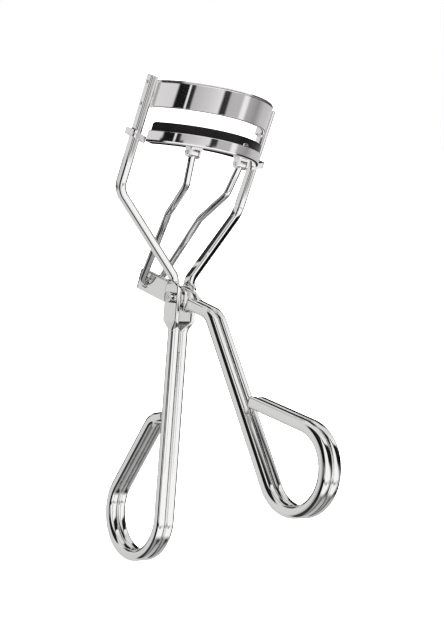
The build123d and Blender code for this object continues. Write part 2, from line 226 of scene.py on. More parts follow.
@dataclass(frozen=True)
class MetalFinish:
    """A plated metal surface with a faint ripple, hairlines and handling marks."""

    name: str
    color: tuple[float, float, float]
    polish: float
    smudge: float
    ripple_cells: float
    ripple_depth: float
    pit_cells: float
    pit_depth: float
    smudge_cells: float = 140.0
    smudge_sharpness: float = 3.0
    smudge_tint: float = 0.965

    def build(self) -> bpy.types.Material:
        """Makes the material.

        Returns:
            The material, with roughness and bump worked out from object coordinates.
        """
        material, graph = new_material(self.name)
        where = graph.node("ShaderNodeTexCoord").outputs["Object"]
        smudges = graph.noise(where, self.smudge_cells, 4.0)
        pits = graph.noise(where, self.pit_cells, 2.0)
        ripples = graph.noise(where, self.ripple_cells, 1.0)
        tint = graph.mix(smudges, paint_color(self.color), paint_color(self.color, self.smudge_tint))
        marks = smudges ** self.smudge_sharpness * self.smudge
        # The noise lies about one half, so the two shares of the polish add up to it.
        roughness = marks + pits * (self.polish * 0.5) + self.polish * 0.75
        height = ripples * self.ripple_depth + pits * self.pit_depth
        bump = graph.node("ShaderNodeBump", {}, {"Strength": 1.0, "Distance": MM, "Height": height})
        shader = graph.node(
            "ShaderNodeBsdfPrincipled",
            {},
            {
                "Base Color": tint,
                "Metallic": 1.0,
                "Roughness": roughness,
                "Normal": bump.outputs["Normal"],
            },
        )
        graph.node("ShaderNodeOutputMaterial", {}, {"Surface": shader.outputs["BSDF"]})
        return material


@dataclass(frozen=True)
class RubberFinish:
    """A moulded silicone surface: a soft sheen over fine mould texture and a little dust."""

    name: str
    color: tuple[float, float, float]
    roughness: float
    gloss: float
    dust_cells: float = 2600.0
    dust_sharpness: float = 5.0
    dust_tint: float = 2.6
    dust_height: float = 0.006
    cloud_cells: float = 260.0
    cloud_height: float = 0.02
    cloud_roughness: float = 0.12

    def build(self) -> bpy.types.Material:
        """Makes the material.

        Returns:
            The material, with dust, roughness and bump worked out from object coordinates.
        """
        material, graph = new_material(self.name)
        where = graph.node("ShaderNodeTexCoord").outputs["Object"]
        dust = graph.noise(where, self.dust_cells)
        cloud = graph.noise(where, self.cloud_cells)
        dusted = paint_color(self.color, self.dust_tint)
        color = graph.mix(dust ** self.dust_sharpness, paint_color(self.color), dusted)
        height = dust * self.dust_height + cloud * self.cloud_height
        bump = graph.node("ShaderNodeBump", {}, {"Strength": 0.5, "Distance": MM, "Height": height})
        shader = graph.node(
            "ShaderNodeBsdfPrincipled",
            {},
            {
                "Base Color": color,
                "Roughness": cloud * self.cloud_roughness + self.roughness,
                "Specular IOR Level": self.gloss,
                "Normal": bump.outputs["Normal"],
            },
        )
        graph.node("ShaderNodeOutputMaterial", {}, {"Surface": shader.outputs["BSDF"]})
        return material


class Finish(Enum):
    """The object's finishes; each value is the record's material slot."""

    WIRE = "chrome_wire"
    SHEET = "chrome_sheet"
    RIVET = "rivet_steel"
    SOLDER = "solder"
    SILICONE = "silicone"


RECIPES: dict[Finish, MetalFinish | RubberFinish] = {
    Finish.WIRE: MetalFinish(
        name="drawn_chrome_wire", color=(0.93, 0.925, 0.92), polish=0.025, smudge=0.06,
        ripple_cells=160.0, ripple_depth=0.006, pit_cells=3200.0, pit_depth=0.0002,
    ),
    Finish.SHEET: MetalFinish(
        name="stamped_chrome_sheet", color=(0.93, 0.908, 0.912), polish=0.03, smudge=0.06,
        ripple_cells=190.0, ripple_depth=0.012, pit_cells=3600.0, pit_depth=0.0003,
    ),
    Finish.RIVET: MetalFinish(
        name="plated_rivet", color=(0.80, 0.80, 0.80), polish=0.10, smudge=0.25,
        ripple_cells=900.0, ripple_depth=0.006, pit_cells=5200.0, pit_depth=0.0016,
    ),
    Finish.SOLDER: MetalFinish(
        name="tinned_solder", color=(0.62, 0.62, 0.63), polish=0.22, smudge=0.30,
        ripple_cells=1500.0, ripple_depth=0.03, pit_cells=4200.0, pit_depth=0.006,
    ),
    Finish.SILICONE: RubberFinish(
        name="black_silicone", color=(0.004, 0.004, 0.0045), roughness=0.16, gloss=0.16,
    ),
}


class Paintbox:
    """Makes each finish once and puts it on pieces."""

    def __init__(self) -> None:
        """Builds every material."""
        self.materials = {finish: recipe.build() for finish, recipe in RECIPES.items()}

    def dress(self, piece: bpy.types.Object, finish: Finish, body: str, *nodes: str) -> None:
        """Gives a new piece its material, its body and the frame nodes that it stands for.

        Args:
            piece: the finished piece.
            finish: its finish.
            body: the body that it moves with.
            nodes: the frame nodes that it replaces.
        """
        piece.data.materials.clear()
        piece.data.materials.append(self.materials[finish])
        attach(piece, body)
        if nodes:
            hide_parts(*nodes)
        LOG.info("%s: %d faces, rides on %s", piece.name, len(piece.data.polygons), body)

    def keep(self, node: str, finish: Finish) -> None:
        """Gives a frame node that keeps its own shape its finish.

        Args:
            node: the node's name.
            finish: its finish.
        """
        piece = frame["nodes"][node]
        piece.data.materials.clear()
        piece.data.materials.append(self.materials[finish])
        LOG.info("%s: kept, %s", node, finish.value)


# ================================================================ modelling helpers
def begin(name: str, add: Callable[..., object], **where: object) -> bpy.types.Object:
    """Adds a primitive with nothing else selected.

    Args:
        name: the piece's name.
        add: the operator that adds the primitive.
        where: its settings.

    Returns:
        The new object.
    """
    bpy.ops.object.select_all(action="DESELECT")
    add(**where)
    piece = bpy.context.active_object
    piece.name = name
    piece.data.name = name
    return piece


def choose(*pieces: bpy.types.Object) -> None:
    """Selects some pieces alone.

    Args:
        pieces: the pieces, of which the first becomes active.
    """
    bpy.ops.object.select_all(action="DESELECT")
    for piece in pieces:
        piece.select_set(True)
    bpy.context.view_layer.objects.active = pieces[0]


def edit(piece: bpy.types.Object) -> bmesh.types.BMesh:
    """Opens a piece in edit mode.

    Args:
        piece: the piece.

    Returns:
        Its mesh, as edit mode holds it.
    """
    choose(piece)
    bpy.ops.object.mode_set(mode="EDIT")
    return bmesh.from_edit_mesh(piece.data)


def close(piece: bpy.types.Object) -> None:
    """Leaves edit mode."""
    bmesh.update_edit_mesh(piece.data)
    bpy.ops.object.mode_set(mode="OBJECT")


def pick(piece: bpy.types.Object, wanted: Callable[[object], bool], kind: str = "FACE") -> None:
    """Selects exactly the elements that pass a test, in edit mode.

    Args:
        piece: the piece in edit mode.
        wanted: the test on a face, edge or vertex.
        kind: FACE, EDGE or VERT.
    """
    bpy.ops.mesh.select_mode(type=kind)
    bpy.ops.mesh.select_all(action="DESELECT")
    mesh = bmesh.from_edit_mesh(piece.data)
    group = {"FACE": mesh.faces, "EDGE": mesh.edges, "VERT": mesh.verts}[kind]
    group.ensure_lookup_table()
    for element in [element for element in group if wanted(element)]:
        element.select_set(True)
    mesh.select_flush_mode()
    bmesh.update_edit_mesh(piece.data)


def settle(piece: bpy.types.Object) -> None:
    """Applies a piece's place, turn and size to its mesh."""
    choose(piece)
    bpy.ops.object.transform_apply(location=True, rotation=True, scale=True)


def apply(piece: bpy.types.Object, kind: str, **settings: object) -> None:
    """Adds a modifier and applies it.

    Args:
        piece: the piece.
        kind: the modifier's type.
        settings: its properties.
    """
    choose(piece)
    modifier = piece.modifiers.new(kind.lower(), kind)
    for key, value in settings.items():
        setattr(modifier, key, value)
    bpy.ops.object.modifier_apply(modifier=modifier.name)


def recalculate(piece: bpy.types.Object) -> None:
    """Merges doubles and turns every face outwards.

    Args:
        piece: a closed piece.
    """
    edit(piece)
    bpy.ops.mesh.select_all(action="SELECT")
    bpy.ops.mesh.remove_doubles(threshold=0.0005 * MM)
    bpy.ops.mesh.normals_make_consistent(inside=False)
    close(piece)


def weigh_normals(piece: bpy.types.Object, angle: float) -> None:
    """Shades smooth below an angle, in degrees, and keeps the large faces flat."""
    bpy.ops.object.shade_smooth_by_angle(angle=math.radians(angle))
    apply(piece, "WEIGHTED_NORMAL", keep_sharp=True, weight=80)


def polish(piece: bpy.types.Object, edge_radius: float = 0.0, segments: int = 3, angle: float = 35.0) -> None:
    """Rounds the sharp edges and shades the piece smooth.

    Args:
        piece: a closed piece.
        edge_radius: width of the rounding in millimetres, or 0 for none.
        segments: faces across the rounding.
        angle: edges sharper than this, in degrees, are rounded or stay sharp.
    """
    recalculate(piece)
    if edge_radius:
        apply(
            piece, "BEVEL", width=edge_radius * MM, segments=segments, limit_method="ANGLE",
            angle_limit=math.radians(angle), harden_normals=False, use_clamp_overlap=True,
        )
    weigh_normals(piece, angle + 10.0)


def mirror_copy(piece: bpy.types.Object, name: str) -> bpy.types.Object:
    """A copy of a piece on the other side of X = 0, with its own mesh.

    Args:
        piece: the finished right-hand piece.
        name: the copy's name.

    Returns:
        The left-hand piece.
    """
    twin = piece.copy()
    twin.data = piece.data.copy()
    twin.name = name
    twin.data.name = name
    bpy.context.scene.collection.objects.link(twin)
    twin.scale = (-1.0, 1.0, 1.0)
    settle(twin)
    recalculate(twin)
    weigh_normals(twin, 45.0)
    return twin


def join(name: str, pieces: Sequence[bpy.types.Object]) -> bpy.types.Object:
    """Joins finished solids into one piece.

    Args:
        name: the piece's name.
        pieces: the solids.

    Returns:
        The piece.
    """
    choose(*pieces)
    bpy.ops.object.join()
    pieces[0].name = name
    pieces[0].data.name = name
    return pieces[0]


def cut(piece: bpy.types.Object, tool: bpy.types.Object, operation: str = "DIFFERENCE") -> None:
    """Cuts a piece with a tool solid, or unites them, and removes the tool."""
    apply(piece, "BOOLEAN", operation=operation, object=tool, solver="EXACT")
    bpy.data.objects.remove(tool, do_unlink=True)


def in_yz(angle: float) -> Vector:
    """The unit vector in the Y-Z plane at an angle, in degrees, from +Y towards +Z."""
    return Vector((0.0, math.cos(math.radians(angle)), math.sin(math.radians(angle))))


class WireFormer:
    """Draws and bends a wire: its end face is extruded along straights and spun round bends."""

    STEP_DEGREES = 5.0
    PLACE_TOLERANCE = 0.05
    NOSE_TURN = 80.0

    def __init__(self, name: str, start: Vector, heading: Vector, across: Vector) -> None:
        """Sets up the former.

        Args:
            name: the wire's name.
            start: the centre of the first section, in metres.
            heading: the direction in which the wire leaves it.
            across: the direction of the section's width.
        """
        self.name = name
        self.at = start.copy()
        self.heading = heading.normalized()
        self.across = (across - across.dot(self.heading) * self.heading).normalized()
        self.width = 1.0
        self.depth = 1.0
        self.corner = 0.5
        self.piece: bpy.types.Object | None = None

    @property
    def side(self) -> Vector:
        """The direction of the section's depth."""
        return self.heading.cross(self.across)

    def _place(self) -> None:
        """Stands the flat section at the start and leaves it selected in edit mode."""
        turn = Matrix((self.across, self.side, self.heading)).transposed().to_4x4()
        self.piece.matrix_world = Matrix.Translation(self.at) @ turn
        settle(self.piece)
        edit(self.piece)
        bpy.ops.mesh.select_mode(type="FACE")
        bpy.ops.mesh.select_all(action="SELECT")

    def bar(self, width: float, depth: float, corner: float, segments: int = 5) -> WireFormer:
        """Starts with a rectangle with rounded corners.

        Args:
            width: its width, in millimetres.
            depth: its depth.
            corner: its corner radius.
            segments: edges round a corner.

        Returns:
            The former.
        """
        self.piece = begin(self.name, bpy.ops.mesh.primitive_plane_add, size=1.0)
        self.piece.scale = (width * MM, depth * MM, 1.0)
        settle(self.piece)
        edit(self.piece)
        bpy.ops.mesh.select_all(action="SELECT")
        bpy.ops.mesh.bevel(offset=corner * MM, segments=segments, affect="VERTICES")
        close(self.piece)
        self.width, self.depth, self.corner = width, depth, corner
        self._place()
        return self

    def round(self, radius: float, sides: int = 28) -> WireFormer:
        """Starts with a disc.

        Args:
            radius: its radius, in millimetres.
            sides: edges round it.

        Returns:
            The former.
        """
        self.piece = begin(
            self.name, bpy.ops.mesh.primitive_circle_add,
            vertices=sides, radius=radius * MM, fill_type="NGON",
        )
        self.width = self.depth = 2 * radius
        self.corner = radius
        self._place()
        return self

    def draw(self, length: float) -> WireFormer:
        """Extrudes the end face straight on.

        Args:
            length: how far, in millimetres.

        Returns:
            The former.
        """
        step = self.heading * (length * MM)
        bpy.ops.mesh.extrude_region_move(TRANSFORM_OT_translate={"value": step})
        self.at += step
        return self

    def forge(
        self, length: float, width: float, depth: float, corner: float, shift: Vector = Vector(),
        across: Vector | None = None, steps: int = 6, ease: Callable[[float], float] | None = None,
    ) -> WireFormer:
        """Extrudes the end face while its size, corners, place and turn change.

        Args:
            length: how far it runs, in millimetres.
            width: the new width.
            depth: the new depth.
            corner: the new corner radius.
            shift: how far the new section lies to the side, in millimetres.
            across: the new direction of the width.
            steps: how many rings the change takes.
            ease: the share of the change at a share of the length.

        Returns:
            The former.
        """
        ease = ease or (lambda share: share * share * (3 - 2 * share))
        start, first_across = self.at.copy(), self.across.copy()
        first = self.width, self.depth, self.corner
        last_across = first_across if across is None else across.normalized()
        for step in range(1, steps + 1):
            share = step / steps
            part = ease(share)
            bpy.ops.mesh.extrude_region_move(TRANSFORM_OT_translate={"value": (0, 0, 0)})
            mesh = bmesh.from_edit_mesh(self.piece.data)
            ring = [vertex for vertex in mesh.verts if vertex.select]
            places = [self._on_section(vertex.co) for vertex in ring]
            self.across = first_across.lerp(last_across, part)
            self.across = (self.across - self.across.dot(self.heading) * self.heading).normalized()
            self.at = start + self.heading * (length * MM * share) + shift * (MM * part)
            self.width, self.depth, self.corner = (
                old + (new - old) * part for old, new in zip(first, (width, depth, corner))
            )
            for vertex, (sign_wide, sign_deep, wide, deep) in zip(ring, places):
                wide = sign_wide * (self.width / 2 - self.corner) + self.corner * wide
                deep = sign_deep * (self.depth / 2 - self.corner) + self.corner * deep
                vertex.co = self.at + (self.across * wide + self.side * deep) * MM
            bmesh.update_edit_mesh(self.piece.data)
        return self

    def _on_section(self, point: Vector) -> tuple[float, float, float, float]:
        """Where a point lies on the section's rounded corners.

        Args:
            point: a vertex of the end ring, in metres.

        Returns:
            The corner's signs across and deep, and the direction from the corner's centre.
        """
        local = (point - self.at) / MM
        wide, deep = local.dot(self.across), local.dot(self.side)
        sign_wide, sign_deep = math.copysign(1.0, wide), math.copysign(1.0, deep)
        return (
            sign_wide, sign_deep,
            (wide - sign_wide * (self.width / 2 - self.corner)) / self.corner,
            (deep - sign_deep * (self.depth / 2 - self.corner)) / self.corner,
        )

    def bend(self, radius: float, degrees: float, toward: Vector) -> WireFormer:
        """Spins the end face round a bend.

        Args:
            radius: the centre line's radius, in millimetres.
            degrees: how far the heading turns.
            toward: the side on which the bend's centre lies.

        Returns:
            The former.
        """
        toward = (toward - toward.dot(self.heading) * self.heading).normalized()
        centre = self.at + toward * (radius * MM)
        axis = self.heading.cross(toward).normalized()
        angle = math.radians(degrees)
        steps = max(2, math.ceil(degrees / self.STEP_DEGREES))
        bpy.ops.mesh.spin(steps=steps, angle=-angle, center=centre, axis=axis, dupli=False)
        self._open_joint()
        turn = Matrix.Rotation(angle, 3, axis)
        self.at = centre + turn @ (self.at - centre)
        self.across = turn @ self.across
        self.heading = turn @ self.heading
        mesh = bmesh.from_edit_mesh(self.piece.data)
        ring = [vertex.co for vertex in mesh.verts if vertex.select]
        middle = sum(ring, Vector()) / len(ring)
        if (middle - self.at).length > self.PLACE_TOLERANCE * MM:
            raise ValueError(f"{self.name}: the bend ended {middle - self.at} away from its place")
        return self

    def _open_joint(self) -> None:
        """Removes the face that a bend leaves inside the wire."""
        mesh = bmesh.from_edit_mesh(self.piece.data)
        inside = [face for face in mesh.faces if all(len(edge.link_faces) > 2 for edge in face.edges)]
        bmesh.ops.delete(mesh, geom=inside, context="FACES_ONLY")
        bmesh.update_edit_mesh(self.piece.data)

    def bend_to(self, corner: Vector, following: Vector, radius: float) -> WireFormer:
        """Draws up to a corner, rounds it and ends facing the following point.

        Args:
            corner: the corner of the centre line, in metres.
            following: the next corner, in metres.
            radius: the bend's radius, in millimetres.

        Returns:
            The former.
        """
        leave = (following - corner).normalized()
        degrees = math.degrees(self.heading.angle(leave))
        tangent = radius * math.tan(math.radians(degrees) / 2)
        self.draw((corner - self.at).length / MM - tangent)
        return self.bend(radius, degrees, leave)

    def nose(self, length: float, steps: int = 5) -> WireFormer:
        """Rounds the wire's end off.

        Args:
            length: the rounding's length, in millimetres.
            steps: rings along it.

        Returns:
            The former.
        """
        width, depth, corner = self.width, self.depth, self.corner
        gone = 0.0
        for step in range(1, steps + 1):
            angle = step / steps * math.radians(self.NOSE_TURN)
            ahead = length * math.sin(angle) - gone
            gone += ahead
            loss = length * (1 - math.cos(angle))
            rounder = max(corner - loss, 0.15 * corner)
            self.forge(ahead, width - 2 * loss, depth - 2 * loss, rounder, steps=1, ease=lambda share: share)
        return self

    def done(self) -> bpy.types.Object:
        """Leaves edit mode, turns the faces outwards and shades the wire.

        Returns:
            The wire.
        """
        close(self.piece)
        polish(self.piece)
        return self.piece


# ================================================================ places in the frame
@dataclass(frozen=True)
class Places:
    """Where the frame's main features lie, in metres, in the Y-Z plane."""

    rail_y: float
    rail_top: float
    pivot: Vector
    lug_pin: Vector

    @classmethod
    def read(cls) -> Places:
        """Reads the places from the boxes of the frame's nodes.

        Returns:
            The places.
        """
        guide_low, guide_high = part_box("jaw_guide_right")
        wire_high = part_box("frame_wire_right")[1]
        rivet_low, rivet_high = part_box("pivot_rivet")
        pin_low, pin_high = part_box("lug_pin_right")
        rivet = (rivet_low + rivet_high) / 2
        pin = (pin_low + pin_high) / 2
        return cls(
            rail_y=(guide_low.y + guide_high.y) / 2,
            rail_top=wire_high.z,
            pivot=Vector((0.0, rivet.y, rivet.z)),
            lug_pin=pin,
        )

    def point(self, x: float, y: float, z: float) -> Vector:
        """A point given in millimetres from the rails' mid plane and top."""
        return Vector((x * MM, self.rail_y + y * MM, self.rail_top + z * MM))


@dataclass(frozen=True)
class HandleRod:
    """The section of both handles: two rods side by side."""

    width: float = 2.1
    depth: float = 2.3
    edge: float = 0.72
    x: float = 1.065


@dataclass(frozen=True)
class Linkage:
    """Where the push rods hook into the lever's plate."""

    pitch: float = 4.65
    reach: float = 12.5

    @property
    def heading(self) -> Vector:
        """The direction from the hooks along the plate to the front."""
        return in_yz(180.0 - self.pitch)

    def hook(self, places: Places) -> Vector:
        """The hooks' middle, in metres."""
        return places.pivot - self.heading * (self.reach * MM)


# ================================================================ frame wires
def ease_out(share: float) -> float:
    """A share that changes fast at first and slowly at the end."""
    return math.sin(share * math.pi / 2)


@dataclass
class FrameWires:
    """The two bent wires of the frame: rail, arm, ear, stem and finger loop."""

    places: Places
    paint: Paintbox
    rail_out: float = 16.6
    rail_width: float = 1.65
    rail_depth: float = 2.4
    rail_length: float = 23.6
    rail_edge: float = 0.62
    rail_end: float = 0.15
    bend_radius: float = 4.0
    ear_bend_radius: float = 2.6
    ear_middle: float = 2.05
    ear_thickness: float = 1.0
    ear_width: float = 4.55
    ear_up: float = 4.3
    ear_down: float = 4.4
    ear_back: float = 0.7
    ear_edge: float = 0.3
    shoulder: float = 1.5
    neck: float = 2.5
    rod: HandleRod = HandleRod()
    lean: float = 21.9
    stem: float = 45.5
    loop_radius: float = 8.8
    loop_turn: float = 216.2
    loop_return: float = 17.1
    hook_radius: float = 3.5
    hook_turn: float = 45.0
    weld_bite: float = 0.3
    weld_nose: float = 0.3

    def build(self) -> None:
        """Builds both wires."""
        right = self.wire("frame_wire_right_polished")
        left = mirror_copy(right, "frame_wire_left_polished")
        self.paint.dress(right, Finish.WIRE, "frame", "frame_wire_right")
        self.paint.dress(left, Finish.WIRE, "frame", "frame_wire_left")

    def wire(self, name: str) -> bpy.types.Object:
        """Bends the right-hand wire.

        Args:
            name: the wire's name.

        Returns:
            The wire.
        """
        heading = in_yz(270.0 - self.lean)
        behind = in_yz(360.0 - self.lean)
        ear_axis = self.places.pivot + behind * (self.ear_back * MM)
        ear_axis.x = self.ear_middle * MM
        ear_top = ear_axis - heading * (self.ear_up * MM)
        rail_x = self.rail_out - self.rail_width / 2
        former = WireFormer(name, self.places.point(rail_x, 0, 0), -Z_AXIS, X_AXIS)
        end = self.rail_end
        former.bar(self.rail_width - 2 * end, self.rail_depth - 2 * end, self.rail_edge - end, segments=6)
        former.forge(end, self.rail_width, self.rail_depth, self.rail_edge, steps=3, ease=ease_out)
        former.bend_to(self.places.point(rail_x, 0, -self.rail_length), ear_top, self.bend_radius)
        former.bend_to(ear_top, ear_axis, self.ear_bend_radius)
        former.forge(
            self.shoulder, self.ear_thickness, self.ear_width, self.ear_edge, across=X_AXIS, steps=8,
            ease=lambda share: ease_out(share) ** 0.8,
        )
        gone = (former.at - ear_axis).dot(heading) / MM
        former.draw(self.ear_down - gone)
        rod = self.rod
        inward = X_AXIS * (rod.x - self.ear_middle)
        former.forge(self.neck, rod.width, rod.depth, rod.edge, inward, steps=10)
        former.draw(self.stem - self.ear_down - self.neck)
        former.bend(self.loop_radius, self.loop_turn, behind)
        former.draw(self.loop_return)
        back = former.heading.cross(X_AXIS)
        toward_stem = back if back.dot(behind) < 0 else -back
        former.bend(self.hook_radius, self.hook_turn, toward_stem)
        stem_point = ear_axis.copy()
        stem_point.x = former.at.x
        distance = (former.at - stem_point).dot(behind) / MM
        closing = -former.heading.dot(behind)
        former.draw((distance - rod.depth / 2 + self.weld_bite) / closing - self.weld_nose)
        former.nose(self.weld_nose, steps=3)
        return former.done()


# ================================================================ lever
@dataclass
class Lever:
    """The lever: one wire folded at the rear, slotted for the push rods, with its finger loop."""

    places: Places
    paint: Paintbox
    thickness: float = 0.9
    height: float = 4.4
    slit: float = 0.5
    arm: float = 9.4
    front: float = 2.9
    neck: float = 1.9
    rear: float = 16.0
    bend_radius: float = 5.0
    bend_turn: float = 40.55
    stem: float = 35.9
    loop_radius: float = 7.9
    loop_turn: float = 224.6
    loop_return: float = 14.3
    rod: HandleRod = HandleRod()
    linkage: Linkage = Linkage()
    edge: float = 0.25
    nose: float = 1.03
    slot_length: float = 3.3
    slot_height: float = 2.5
    punch_length: float = 6.0

    def build(self) -> None:
        """Builds the lever wire."""
        lever = self.wire("lever_wire_polished")
        self.paint.dress(lever, Finish.WIRE, "lever", "lever_wire")

    def wire(self, name: str) -> bpy.types.Object:
        """Bends one strand, mirrors it and cuts the slot.

        Args:
            name: the piece's name.

        Returns:
            The lever wire.
        """
        heading = self.linkage.heading
        up = in_yz(90.0 - self.linkage.pitch)
        fold_radius = self.slit / 2 + self.thickness / 2
        start = self.places.pivot - heading * ((self.rear - self.thickness / 2) * MM)
        former = WireFormer(name, start, X_AXIS, up)
        former.bar(self.height, self.thickness, self.edge, segments=6)
        former.bend(fold_radius, 90.0, heading)
        plate = self.rear - self.thickness / 2 - fold_radius + self.front
        former.draw(plate)
        inward = X_AXIS * (self.rod.x - fold_radius)
        former.forge(self.neck, self.rod.depth, self.rod.width, self.rod.edge, inward, steps=8)
        former.draw(self.arm - self.front - self.neck)
        former.bend(self.bend_radius, self.bend_turn, -up)
        former.draw(self.stem)
        above = former.heading.cross(X_AXIS)
        former.bend(self.loop_radius, self.loop_turn, above if above.z > 0 else -above)
        former.draw(self.loop_return)
        former.nose(self.nose, steps=8)
        close(former.piece)
        lever = former.piece
        edit(lever)
        pick(lever, lambda face: abs(face.calc_center_median().x) < NEAR * MM)
        bpy.ops.mesh.delete(type="FACE")
        close(lever)
        apply(lever, "MIRROR", use_mirror_merge=True, merge_threshold=0.002 * MM)
        recalculate(lever)
        cut(lever, self.slot_tool(heading, up))
        polish(lever)
        return lever

    def slot_tool(self, heading: Vector, up: Vector) -> bpy.types.Object:
        """The long-hole punch for the push rods' hooks.

        Args:
            heading: the plate's direction.
            up: its height's direction.

        Returns:
            The punch.
        """
        punch = begin(
            "slot_punch", bpy.ops.mesh.primitive_cylinder_add,
            vertices=48, radius=self.slot_height / 2 * MM, depth=self.punch_length * MM,
        )
        edit(punch)
        stretch = (self.slot_length - self.slot_height) / 2 * MM
        mesh = bmesh.from_edit_mesh(punch.data)
        for vertex in mesh.verts:
            vertex.co.x += math.copysign(stretch, vertex.co.x)
        close(punch)
        turn = Matrix((heading, up, heading.cross(up))).transposed().to_4x4()
        punch.matrix_world = Matrix.Translation(self.linkage.hook(self.places)) @ turn
        settle(punch)
        return punch


# ================================================================ jaws
@dataclass
class JawShape:
    """The common curve of both jaws: an arc about a vertical axis, with edges that rise forwards."""

    places: Places
    rail_in: float = 15.05
    radius: float = 15.8
    sagitta: float = 10.5
    tilt: float = 16.5

    @property
    def axis(self) -> Vector:
        """The jaws' axis at the rails' top."""
        return self.places.point(0, self.radius - self.sagitta, 0)

    @property
    def slope(self) -> float:
        """How much the jaws rise for each millimetre forwards."""
        return math.tan(math.radians(self.tilt))

    def section(self, name: str, r_in: float, r_out: float, z_low: float, z_high: float) -> bpy.types.Object:
        """A flat rectangle in the X = 0 plane, on the convex side, ready to be spun.

        Args:
            name: the piece's name.
            r_in: its inner radius from the jaws' axis.
            r_out: its outer radius.
            z_low: its lower edge, from the rails' top.
            z_high: its upper edge.

        Returns:
            The rectangle.
        """
        middle = self.axis + Vector((0, -(r_in + r_out) / 2 * MM, (z_low + z_high) / 2 * MM))
        piece = begin(
            name, bpy.ops.mesh.primitive_plane_add, size=1.0, rotation=(0, math.radians(90.0), 0),
        )
        piece.scale = ((z_high - z_low) * MM, (r_out - r_in) * MM, 1.0)
        piece.location = middle
        settle(piece)
        return piece

    def sweep(self, piece: bpy.types.Object, half_angle: float, step: float = 2.5) -> None:
        """Spins an open section through the jaw's arc, both ways from its middle.

        Args:
            piece: the flat section.
            half_angle: half the arc, in degrees.
            step: degrees between rings.
        """
        edit(piece)
        bpy.ops.mesh.select_mode(type="VERT")
        bpy.ops.mesh.select_all(action="SELECT")
        mesh = bmesh.from_edit_mesh(piece.data)
        turn = Matrix.Rotation(math.radians(-half_angle), 3, Z_AXIS)
        for vertex in mesh.verts:
            vertex.co = self.axis + turn @ (vertex.co - self.axis)
        bmesh.update_edit_mesh(piece.data)
        bpy.ops.mesh.select_mode(type="FACE")
        bpy.ops.mesh.select_all(action="SELECT")
        steps = math.ceil(2 * half_angle / step)
        bpy.ops.mesh.spin(
            steps=steps, angle=-math.radians(2 * half_angle), center=self.axis, axis=Z_AXIS, dupli=False
        )
        close(piece)

    def lean(self, piece: bpy.types.Object) -> None:
        """Raises every point by its distance in front of the rails times the tilt's slope.

        Args:
            piece: the level piece.
        """
        for vertex in edit(piece).verts:
            vertex.co.z -= (vertex.co.y - self.places.rail_y) * self.slope
        close(piece)

    def end_angle(self, half_width: float, radius: float) -> float:
        """The angle, in degrees, at which an arc of a radius reaches a half width."""
        return math.degrees(math.asin(half_width / radius))


